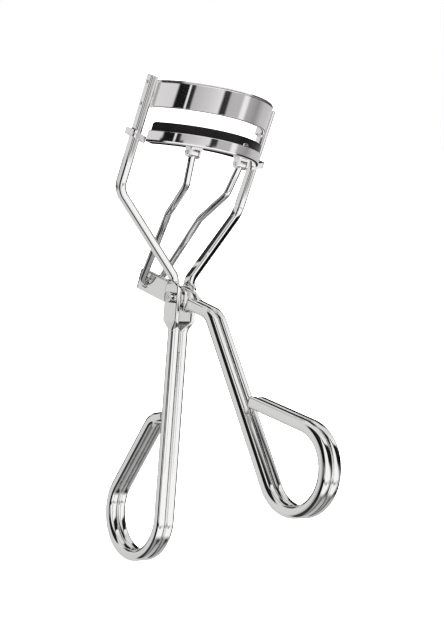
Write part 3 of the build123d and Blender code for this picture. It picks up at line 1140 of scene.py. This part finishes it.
@dataclass
class UpperClamp:
    """The fixed clamp: a curved sheet with a folded hem, end flanges and its rivets.

    DOME holds, for each ring of a rivet's dome, its share of the last ring's radius and its rise.
    """

    DOME = ((0.92, 0.05), (0.7, 0.04), (0.55, 0.015))

    shape: JawShape
    paint: Paintbox
    top: float = -0.6
    height: float = 5.5
    thickness: float = 0.7
    hem_thickness: float = 0.35
    hem_height: float = 0.8
    hem_gap: float = 0.1
    hem_seam: float = 0.02
    hem_short: float = 1.5
    sheet_short: float = 0.35
    sheet_edge: float = 0.12
    hem_edge: float = 0.14
    flange_edge: float = 0.16
    flange_back: float = 1.05
    flange_tuck: float = 0.12
    rivet_radius: float = 0.36
    rivet_depths: tuple[float, float] = (1.4, 5.8)
    groove_depths: tuple[float, float, float] = (0.32, 0.46, 0.6)
    groove: float = 0.13
    rail_out: float = 16.58

    def build(self) -> None:
        """Builds the sheet and the rivets."""
        shape = self.shape
        sheet_half = shape.end_angle(shape.rail_in - self.sheet_short, shape.radius)
        low = self.top - self.height
        wall = shape.section("upper_clamp_sheet", shape.radius - self.thickness, shape.radius, low, self.top)
        self.fold_line(wall)
        shape.sweep(wall, sheet_half)
        shape.lean(wall)
        polish(wall, self.sheet_edge, 4, angle=60.0)
        hem_out = shape.radius - self.thickness - self.hem_seam
        hem_low, hem_top = self.top - self.hem_height, self.top - self.hem_gap
        hem = shape.section("clamp_hem", hem_out - self.hem_thickness, hem_out, hem_low, hem_top)
        shape.sweep(hem, sheet_half - self.hem_short)
        shape.lean(hem)
        polish(hem, self.hem_edge)
        flanges = [self.flange(side) for side in (1, -1)]
        clamp = join("upper_clamp_sheet", [wall, hem, *flanges])
        self.paint.dress(clamp, Finish.SHEET, "frame", "upper_clamp")
        for side, word in ((1, "right"), (-1, "left")):
            heads = [self.rivet(side, depth) for depth in self.rivet_depths]
            rivets = join(f"clamp_rivet_heads_{word}", heads)
            self.paint.dress(rivets, Finish.RIVET, "frame", f"clamp_rivets_{word}")

    def fold_line(self, wall: bpy.types.Object) -> None:
        """Presses the fold's line into the flat section's convex side.

        Args:
            wall: the sheet's section.
        """
        edit(wall)
        for depth in self.groove_depths:
            bpy.ops.mesh.select_all(action="SELECT")
            level = self.shape.axis + Z_AXIS * ((self.top - depth) * MM)
            bpy.ops.mesh.bisect(plane_co=level, plane_no=(0, 0, 1))
        bottom = self.shape.axis.z + (self.top - self.groove_depths[1]) * MM
        face = self.shape.axis.y - self.shape.radius * MM

        def on_groove(vertex: bmesh.types.BMVert) -> bool:
            """Whether a corner lies at the groove's bottom, on the convex side."""
            return abs(vertex.co.z - bottom) < NEAR * MM and vertex.co.y < face + NEAR * MM

        pick(wall, on_groove, "VERT")
        bpy.ops.transform.translate(value=(0, self.groove * MM, 0))
        close(wall)

    def flange(self, side: int) -> bpy.types.Object:
        """One flat end flange, against its rail.

        Args:
            side: 1 on the right, -1 on the left.

        Returns:
            The flange.
        """
        places = self.shape.places
        x = (self.shape.rail_in - self.thickness / 2) * side
        middle = places.point(x, 0.0, self.top - self.height / 2)
        plate = begin("flange", bpy.ops.mesh.primitive_cube_add, size=1.0, location=middle)
        plate.scale = (self.thickness * MM, 2 * self.flange_back * MM, self.height * MM)
        settle(plate)
        edit(plate)
        pick(plate, lambda face: face.normal.y > 0.9)
        bpy.ops.mesh.extrude_region_move(TRANSFORM_OT_translate={"value": (0, self.flange_tuck * MM, 0)})
        close(plate)
        polish(plate, self.flange_edge)
        return plate

    def rivet(self, side: int, depth: float) -> bpy.types.Object:
        """One clamp rivet, its head a low dome on the rail's outer face.

        Args:
            side: 1 on the right, -1 on the left.
            depth: how far it lies under the rail's top, in millimetres.

        Returns:
            The rivet.
        """
        places = self.shape.places
        length = self.rail_out - self.shape.rail_in + self.thickness
        middle_x = (self.rail_out - length / 2) * side
        rivet = begin(
            "rivet", bpy.ops.mesh.primitive_cylinder_add, vertices=28, radius=self.rivet_radius * MM,
            depth=length * MM, location=places.point(middle_x, 0, -depth),
            rotation=(0, math.radians(90 * side), 0),
        )
        settle(rivet)
        edit(rivet)
        pick(rivet, lambda face: face.normal.x * side > 0.9)
        for grow, out in self.DOME:
            bpy.ops.mesh.extrude_region_move(TRANSFORM_OT_translate={"value": (out * MM * side, 0, 0)})
            mesh = bmesh.from_edit_mesh(rivet.data)
            centre = places.point(0, 0, -depth)
            for vertex in (v for v in mesh.verts if v.select):
                vertex.co.y = centre.y + (vertex.co.y - centre.y) * grow
                vertex.co.z = centre.z + (vertex.co.z - centre.z) * grow
            bmesh.update_edit_mesh(rivet.data)
        close(rivet)
        polish(rivet)
        return rivet


@dataclass
class LowerJaw:
    """The sliding jaw: channel, silicone pad, guides, lugs and lug pins."""

    shape: JawShape
    paint: Paintbox
    rim: float = -10.95
    seat: float = 1.9
    wall: float = 0.45
    forward: float = 0.75
    end_gap: float = 0.35
    pad_thickness: float = 2.2
    pad_proud: float = 1.9
    pad_crown: float = 0.68
    pad_short: float = 0.55
    guide_height: float = 1.35
    guide_fall: float = 0.9
    guide_wall: float = 0.65
    crimp_x: float = 3.2
    crimp_width: float = 1.6
    crimp_height: float = 0.55
    crimp_root: float = 0.2
    crimp_swell: float = 1.15
    channel_edge: float = 0.14
    crimp_edge: float = 0.18
    collar_edge: float = 0.16
    pad_clearance: float = 0.01
    collar_corner: float = 0.6

    def build(self) -> None:
        """Builds the jaw's pieces."""
        self.paint.dress(self.channel(), Finish.SHEET, "lower_jaw", "pad_channel")
        pad = self.pad()
        self.paint.dress(pad, Finish.SILICONE, "lower_jaw", "silicone_pad")
        guide = self.guide()
        self.paint.dress(guide, Finish.SHEET, "lower_jaw", "jaw_guide_right")
        twin = mirror_copy(guide, "jaw_guide_collar_left")
        self.paint.dress(twin, Finish.SHEET, "lower_jaw", "jaw_guide_left")
        for word in ("right", "left"):
            self.paint.keep(f"push_rod_lug_{word}", Finish.SHEET)
            self.paint.keep(f"lug_pin_{word}", Finish.RIVET)

    @property
    def out_radius(self) -> float:
        """The channel's convex radius."""
        return self.shape.radius + self.forward

    def channel(self) -> bpy.types.Object:
        """Bends the U-section channel and adds its crimp tab.

        Returns:
            The channel.
        """
        shape = self.shape
        inner = self.out_radius - 2 * self.wall - self.pad_thickness
        floor = self.rim - self.seat - self.wall
        piece = shape.section("pad_channel_sheet", inner, self.out_radius, floor, self.rim)
        edit(piece)
        for radius in (inner + self.wall, self.out_radius - self.wall):
            bpy.ops.mesh.select_all(action="SELECT")
            place = shape.axis + Vector((0, -radius * MM, 0))
            bpy.ops.mesh.bisect(plane_co=place, plane_no=(0, 1, 0))
        bpy.ops.mesh.select_all(action="SELECT")
        level = shape.axis + Vector((0, 0, (floor + self.wall) * MM))
        bpy.ops.mesh.bisect(plane_co=level, plane_no=(0, 0, 1))
        middle_y = shape.axis.y - (inner + self.out_radius) / 2 * MM

        def hollow(face: bmesh.types.BMFace) -> bool:
            """Whether a face lies in the channel's hollow."""
            centre = face.calc_center_median()
            return abs(centre.y - middle_y) < self.pad_thickness / 2 * MM and centre.z > level.z

        pick(piece, hollow)
        bpy.ops.mesh.delete(type="FACE")
        close(piece)
        half_width = shape.rail_in - self.end_gap
        shape.sweep(piece, shape.end_angle(half_width, self.out_radius))
        shape.lean(piece)
        polish(piece, self.channel_edge)
        tab = self.crimp()
        return join("pad_channel_sheet", [piece, tab])

    def crimp(self) -> bpy.types.Object:
        """Makes the small tab on the rim that grips the pad.

        Returns:
            The tab.
        """
        shape = self.shape
        radius = self.out_radius - self.wall / 2
        angle = math.asin(self.crimp_x / radius)
        y = shape.radius - shape.sagitta - radius * math.cos(angle)
        z = self.rim - y * shape.slope + (self.crimp_height - self.crimp_root) / 2
        tab = begin(
            "crimp", bpy.ops.mesh.primitive_cube_add, size=1.0,
            location=shape.places.point(self.crimp_x, y, z), rotation=(0, 0, angle),
        )
        tab_height = self.crimp_height + self.crimp_root
        tab.scale = (self.crimp_width * MM, self.wall * self.crimp_swell * MM, tab_height * MM)
        settle(tab)
        polish(tab, self.crimp_edge, 4)
        return tab

    def pad(self) -> bpy.types.Object:
        """Moulds the silicone pad, with a full crown round its top.

        Returns:
            The pad.
        """
        shape = self.shape
        outer = self.out_radius - self.wall - self.pad_clearance
        inner = outer - self.pad_thickness + 2 * self.pad_clearance
        low = self.rim - self.seat + 2 * self.pad_clearance
        pad = shape.section("silicone_pad_moulded", inner, outer, low, self.rim + self.pad_proud)
        half_angle = shape.end_angle(shape.rail_in - self.end_gap - self.pad_short, outer)
        shape.sweep(pad, half_angle, step=2.0)
        recalculate(pad)
        top = shape.places.point(0, 0, self.rim + self.pad_proud).z
        edit(pad)

        def on_crown(edge: bmesh.types.BMEdge) -> bool:
            """Whether an edge borders the pad's flat top."""
            level = all(abs(vertex.co.z - top) < NEAR * MM for vertex in edge.verts)
            return level and edge.calc_face_angle(0.0) > math.radians(45.0)

        pick(pad, on_crown, "EDGE")
        bpy.ops.mesh.bevel(offset=self.pad_crown * MM, segments=7, affect="EDGES", clamp_overlap=True)
        close(pad)
        shape.lean(pad)
        polish(pad, angle=50.0)
        return pad

    def guide(self) -> bpy.types.Object:
        """Makes the right-hand collar that slides on the rail.

        Returns:
            The collar.
        """
        low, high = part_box("jaw_guide_right")
        size = high - low
        collar = begin(
            "jaw_guide_collar_right", bpy.ops.mesh.primitive_plane_add, size=1.0,
            location=((low.x + high.x) / 2, (low.y + high.y) / 2, high.z - self.guide_height * MM),
        )
        collar.scale = (size.x, size.y, 1.0)
        settle(collar)
        edit(collar)
        bpy.ops.mesh.select_all(action="SELECT")
        bpy.ops.mesh.bevel(offset=self.collar_corner * MM, segments=5, affect="VERTICES")
        bpy.ops.mesh.select_mode(type="FACE")
        bpy.ops.mesh.select_all(action="SELECT")
        bpy.ops.mesh.inset(thickness=self.guide_wall * MM)
        bpy.ops.mesh.delete(type="FACE")
        bpy.ops.mesh.select_all(action="SELECT")
        bpy.ops.mesh.extrude_region_move(TRANSFORM_OT_translate={"value": (0, 0, self.guide_height * MM)})
        for vertex in bmesh.from_edit_mesh(collar.data).verts:
            vertex.co.z -= self.guide_fall * MM * (high.x - vertex.co.x) / size.x
        close(collar)
        polish(collar, self.collar_edge)
        return collar


# ================================================================ pivot and push rods
@dataclass
class Pivot:
    """The pivot rivet with its two heads, and the washers."""

    places: Places
    paint: Paintbox
    shank_radius: float = 0.8
    ear_out: float = 2.55
    head_radius: float = 1.17
    head_height: float = 1.3
    tail_radius: float = 1.3
    tail_height: float = 0.6
    shank_edge: float = 0.05
    head_edge: float = 0.16
    tail_edge: float = 0.3
    dish_share: float = 0.55
    dish_lip: float = 0.12
    dish_depth: float = 0.06

    def build(self) -> None:
        """Builds the rivet and finishes the washers."""
        parts = [
            self.button(-1, self.head_radius, self.head_height, self.head_edge),
            self.button(1, self.tail_radius, self.tail_height, self.tail_edge),
            self.shank(),
        ]
        self.paint.dress(join("pivot_rivet_turned", parts), Finish.RIVET, "frame", "pivot_rivet")
        for word in ("right", "left"):
            self.paint.keep(f"pivot_washer_{word}", Finish.RIVET)

    def shank(self) -> bpy.types.Object:
        """Turns the shank between the ears.

        Returns:
            The shank.
        """
        shank = begin(
            "shank", bpy.ops.mesh.primitive_cylinder_add, vertices=40, radius=self.shank_radius * MM,
            depth=2 * self.ear_out * MM, location=self.places.pivot, rotation=(0, math.radians(90.0), 0),
        )
        settle(shank)
        polish(shank, self.shank_edge, 2)
        return shank

    def button(self, side: int, radius: float, height: float, edge: float) -> bpy.types.Object:
        """Turns one head: a button with a rounded rim and a dished face.

        Args:
            side: 1 on the right, -1 on the left.
            radius: its radius, in millimetres.
            height: its height.
            edge: the rim's rounding.

        Returns:
            The head.
        """
        centre = self.places.pivot + X_AXIS * (side * (self.ear_out + height / 2) * MM)
        head = begin(
            "head", bpy.ops.mesh.primitive_cylinder_add, vertices=56, radius=radius * MM,
            depth=height * MM, location=centre, rotation=(0, math.radians(90.0), 0),
        )
        settle(head)
        edit(head)
        pick(head, lambda face: face.normal.x * side > 0.9)
        bpy.ops.mesh.inset(thickness=radius * self.dish_share * MM)
        bpy.ops.mesh.inset(thickness=radius * self.dish_lip * MM)
        sink = (-side * self.dish_depth * MM, 0, 0)
        bpy.ops.mesh.extrude_region_move(TRANSFORM_OT_translate={"value": sink})
        close(head)
        polish(head, edge, 4, angle=60.0)
        return head


@dataclass
class PushRods:
    """The two push rods, from the lugs to their hooks in the lever's slot."""

    places: Places
    paint: Paintbox
    radius: float = 0.75
    lug_x: float = 6.3
    knees: tuple[tuple[float, float, float], ...] = ((5.35, -7.3, -18.8), (4.15, -2.7, -25.9))
    bend_radius: float = 3.0
    hook_bend_radius: float = 1.1
    hook_x: float = 2.12
    hook_end_x: float = 0.4
    hook_nose: float = 0.2
    linkage: Linkage = Linkage()
    eye_radius: float = 0.85
    eye_half: float = 0.8

    def build(self) -> None:
        """Builds both rods."""
        right = self.rod("push_rod_right_polished")
        left = mirror_copy(right, "push_rod_left_polished")
        self.paint.dress(right, Finish.WIRE, "push_rods", "push_rod_right")
        self.paint.dress(left, Finish.WIRE, "push_rods", "push_rod_left")

    def rod(self, name: str) -> bpy.types.Object:
        """Bends the right-hand rod.

        Args:
            name: the rod's name.

        Returns:
            The rod.
        """
        start = self.places.lug_pin.copy()
        start.x = self.lug_x * MM
        hook = self.linkage.hook(self.places)
        corner = Vector((self.hook_x * MM, hook.y, hook.z))
        last = Vector((self.hook_end_x * MM, hook.y, hook.z))
        knees = [self.places.point(*knee) for knee in self.knees]
        former = WireFormer(name, start, knees[0] - start, X_AXIS)
        former.round(self.radius)
        former.bend_to(knees[0], knees[1], self.bend_radius)
        former.bend_to(knees[1], corner, self.bend_radius)
        former.bend_to(corner, last, self.hook_bend_radius)
        former.draw((last - former.at).length / MM - self.hook_nose)
        former.nose(self.hook_nose, steps=3)
        close(former.piece)
        recalculate(former.piece)
        eye = begin(
            "eye", bpy.ops.mesh.primitive_cylinder_add, vertices=40, radius=self.eye_radius * MM,
            depth=2 * self.eye_half * MM, location=start, rotation=(0, math.radians(90.0), 0),
        )
        settle(eye)
        cut(former.piece, eye, "UNION")
        polish(former.piece)
        return former.piece


# ================================================================ solder
@dataclass
class SolderBead:
    """A bead of solder in the groove between the two rods of a handle."""

    node: str
    body: str
    paint: Paintbox
    lumps: float = 21.0
    lump_height: float = 0.16
    wrinkles: float = 31.0
    wrinkle_height: float = 0.08
    fill_across: float = 0.9
    fill_deep: float = 0.75

    def build(self) -> None:
        """Lays the bead along the node's longest diagonal."""
        low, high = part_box(self.node)
        points = [vertex.co.copy() for vertex in frame["nodes"][self.node].data.vertices]
        centre = sum(points, Vector()) / len(points)
        far = max(points, key=lambda point: (point - centre).length)
        along = Vector((0.0, far.y - centre.y, far.z - centre.z)).normalized()
        across = along.cross(X_AXIS)
        reach = max(abs((point - centre).dot(along)) for point in points)
        width = (high.x - low.x) / 2
        bead = begin(
            self.node + "_bead", bpy.ops.mesh.primitive_uv_sphere_add,
            segments=24, ring_count=72, radius=1.0,
        )
        for vertex in edit(bead).verts:
            share = vertex.co.z
            ring = math.hypot(vertex.co.x, vertex.co.y)
            round_x = vertex.co.x / ring if ring > 1e-6 else 0.0
            round_y = vertex.co.y / ring if ring > 1e-6 else 0.0
            thick = width * self.swell(share)
            vertex.co = (
                centre + along * (share * reach)
                + X_AXIS * (round_x * thick * self.fill_across)
                + across * (round_y * thick * self.fill_deep)
            )
        close(bead)
        polish(bead)
        self.paint.dress(bead, Finish.SOLDER, self.body, self.node)

    def swell(self, share: float) -> float:
        """How thick the bead is at a place along it.

        Args:
            share: the place, from -1 at one end to 1 at the other.

        Returns:
            The thickness as a share of the full one, 0 at the ends.
        """
        lumps = self.lump_height * math.sin(share * self.lumps)
        wrinkles = self.wrinkle_height * math.sin(share * self.wrinkles)
        end = (1.0 - abs(share) ** 6) ** 0.5 if abs(share) < 1.0 else 0.0
        return (1.0 + lumps + wrinkles) * end


# ================================================================ studio
@dataclass(frozen=True)
class Band:
    """Part of the studio's wall, between two heights, with its tents and dark gaps.

    The edges are where the band fades in, is full, starts to fade and is gone, as heights of a
    direction from -1 to 1.  The lights are pairs of azimuth, in degrees from -Y towards +X, and
    brightness.
    """

    edges: tuple[float, float, float, float]
    lights: tuple[tuple[float, float], ...]


SIDE = Band(
    edges=(-2.1, -2.0, 2.0, 2.1),
    lights=(
        (-180, 0.03), (-152, 0.03), (-147, 0.66), (-131, 0.70), (-127, 0.004), (-64, 0.004),
        (-58, 0.9), (-20, 1.0), (46, 1.0), (51, 0.05), (56, 0.002), (104, 0.004),
        (118, 0.02), (150, 0.01), (180, 0.03),
    ),
)
CLAMP_BAND = Band(
    edges=(-0.12, -0.108, -0.012, -0.004),
    lights=(
        (-180, 0.72), (-131, 0.72), (-127, 0.01), (-102, 0.01), (-99, 0.74), (-69, 0.70),
        (-66, 0.01), (-51.5, 0.01), (-50.5, 0.9), (-49, 0.9), (-48, 0.02), (-43, 0.03),
        (-41, 0.5), (-20, 0.62), (-1, 0.78), (2, 0.03), (10, 0.04), (13, 0.48), (33, 0.5),
        (37, 0.9), (43, 0.9), (48, 0.42), (68, 0.30), (84, 0.52), (120, 0.62), (180, 0.72),
    ),
)
CHANNEL_BAND = Band(
    edges=(-0.12, -0.108, -0.086, -0.080),
    lights=(
        (-180, 0.72), (-131, 0.72), (-127, 0.01), (-102, 0.01), (-99, 0.74), (-71, 0.70),
        (-69, 0.01), (-52, 0.01), (-50, 0.9), (-48, 0.01), (-38, 0.02), (-35, 0.6), (-6, 0.82),
        (-3, 0.03), (4, 0.03), (7, 0.5), (32, 0.42), (37, 0.85), (43, 0.85), (48, 0.36),
        (60, 0.28), (84, 0.5), (120, 0.62), (180, 0.72),
    ),
)
UPPER_BAND = Band(
    edges=(0.44, 0.54, 2.0, 2.1),
    lights=(
        (-180, 0.78), (-131, 0.70), (-127, 0.02), (-66, 0.02), (-58, 0.9), (43, 1.0),
        (48, 0.01), (79, 0.01), (85, 0.95), (112, 0.7), (150, 0.75), (180, 0.78),
    ),
)
LOWER_BAND = Band(
    edges=(-2.1, -2.0, -0.52, -0.38),
    lights=(
        (-180, 0.66), (-131, 0.62), (-124, 0.04), (-60, 0.04), (-50, 0.4), (20, 0.2), (38, 0.02),
        (46, 0.03), (52, 0.34), (66, 0.48), (90, 0.5), (130, 0.6), (180, 0.66),
    ),
)


@dataclass
class Studio:
    """Camera, white floor and the soft studio that the chrome mirrors."""

    azimuth: float = 41.084
    elevation: float = 13.375
    roll: float = 18.298
    distance: float = 0.24841
    lens: float = 61.02
    aim: tuple[float, float, float] = (0.02138, 0.0303957, 0.0486699)
    floor_size: float = 6.0
    floor_glow: float = 0.9
    lamp_size: float = 2.4
    lamp_height: float = 1.6
    lamp_power: float = 60.0

    def build(self) -> None:
        """Builds everything round the object."""
        self.camera()
        self.floor()
        self.lamp()
        self.world()
        bpy.context.scene.view_settings.view_transform = "Standard"

    def camera(self) -> None:
        """Puts the camera in place."""
        turn, rise, roll = (math.radians(a) for a in (self.azimuth, self.elevation, self.roll))
        level = math.cos(rise)
        ahead = Vector((math.sin(turn) * level, math.cos(turn) * level, -math.sin(rise)))
        right = ahead.cross(Z_AXIS).normalized()
        up = right.cross(ahead)
        image_right = right * math.cos(roll) + up * math.sin(roll)
        image_up = up * math.cos(roll) - right * math.sin(roll)
        basis = Matrix((image_right, image_up, -ahead)).transposed().to_4x4()
        data = bpy.data.cameras.new("camera")
        data.lens = self.lens
        data.sensor_width = 36.0
        data.clip_start = 0.01
        camera = bpy.data.objects.new("camera", data)
        camera.matrix_world = Matrix.Translation(Vector(self.aim) - ahead * self.distance) @ basis
        bpy.context.scene.collection.objects.link(camera)
        bpy.context.scene.camera = camera

    def floor(self) -> None:
        """Lays the white floor, which the chrome does not mirror."""
        floor = begin("floor", bpy.ops.mesh.primitive_plane_add, size=self.floor_size)
        material, graph = new_material("white_floor")
        shader = graph.node(
            "ShaderNodeBsdfPrincipled", {},
            {
                "Base Color": grey(0.8),
                "Roughness": 1.0,
                "Emission Color": grey(1.0),
                "Emission Strength": self.floor_glow,
            },
        )
        graph.node("ShaderNodeOutputMaterial", {}, {"Surface": shader.outputs["BSDF"]})
        floor.data.materials.append(material)
        floor.visible_glossy = False

    def lamp(self) -> None:
        """Hangs a large soft lamp over the floor."""
        data = bpy.data.lights.new("overhead", "AREA")
        data.shape = "DISK"
        data.size = self.lamp_size
        data.energy = self.lamp_power
        lamp = bpy.data.objects.new("overhead", data)
        lamp.location = (0.0, 0.0, self.lamp_height)
        lamp.visible_glossy = False
        bpy.context.scene.collection.objects.link(lamp)

    def world(self) -> None:
        """Builds the studio: white tents, dark gaps between them and a dark well below."""
        world = bpy.data.worlds.new("studio")
        world.use_nodes = True
        bpy.context.scene.world = world
        graph = Graph(world.node_tree)
        direction = graph.node("ShaderNodeTexCoord").outputs["Generated"]
        parts = graph.node("ShaderNodeSeparateXYZ", {}, {"Vector": direction})
        side = graph.signal(parts.outputs["X"])
        front = graph.signal(parts.outputs["Y"]) * -1.0
        height = graph.signal(parts.outputs["Z"])
        turn = side.combine("ARCTAN2", side, front) * (1.0 / math.tau) + 0.5
        around = self.ring(graph, turn, SIDE)
        for band in (CLAMP_BAND, CHANNEL_BAND, UPPER_BAND, LOWER_BAND):
            around = graph.mix(self.share(graph, height, band), around, self.ring(graph, turn, band))
        rays = graph.node("ShaderNodeLightPath")
        seen = graph.signal(rays.outputs["Is Camera Ray"])
        plain = seen.combine("MAXIMUM", seen, graph.signal(rays.outputs["Is Diffuse Ray"]))
        background = graph.node(
            "ShaderNodeBackground", {}, {"Color": graph.mix(plain, around, grey(1.0)), "Strength": 1.0}
        )
        graph.node("ShaderNodeOutputWorld", {}, {"Surface": background.outputs["Background"]})

    def share(self, graph: Graph, height: Signal, band: Band) -> Signal:
        """How much of a band is seen at a height.

        Args:
            graph: the world's node tree.
            height: the direction's height, from -1 to 1.
            band: the band.

        Returns:
            The share, 1 between the band's inner edges and 0 outside the outer ones.
        """
        low, full, fading, gone = band.edges
        rise = {"Value": height, "From Min": low, "From Max": full}
        fall = {"Value": height, "From Min": gone, "From Max": fading}
        first, last = (graph.node("ShaderNodeMapRange", {}, ends).outputs["Result"] for ends in (rise, fall))
        return graph.signal(first) * graph.signal(last)

    def ring(self, graph: Graph, turn: Signal, band: Band) -> bpy.types.NodeSocket:
        """A band's brightness, by azimuth.

        Args:
            graph: the world's node tree.
            turn: the azimuth as a share of a turn, one half at -Y.
            band: the band.

        Returns:
            The brightness as a colour.
        """
        stops = [(azimuth / 360.0 + 0.5, grey(light)) for azimuth, light in band.lights]
        return graph.node("ShaderNodeValToRGB", {}, {"Fac": turn}, stops).outputs["Color"]


def clear_defaults() -> None:
    """Removes what an empty Blender file starts with."""
    keep = set(frame["nodes"].values()) | set(frame["bodies"].values())
    for thing in list(bpy.data.objects):
        if thing not in keep:
            bpy.data.objects.remove(thing, do_unlink=True)


def main() -> None:
    """Builds the curler and the studio."""
    logging.basicConfig(level=logging.INFO, format="%(message)s")
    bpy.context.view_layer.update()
    clear_defaults()
    places = Places.read()
    paint = Paintbox()
    shape = JawShape(places)
    FrameWires(places, paint).build()
    Lever(places, paint).build()
    UpperClamp(shape, paint).build()
    LowerJaw(shape, paint).build()
    Pivot(places, paint).build()
    PushRods(places, paint).build()
    SolderBead("solder_frame_handle", "frame", paint).build()
    SolderBead("solder_lever_handle", "lever", paint).build()
    Studio().build()
    bpy.context.view_layer.update()


if __name__ == "__main__":
    main()
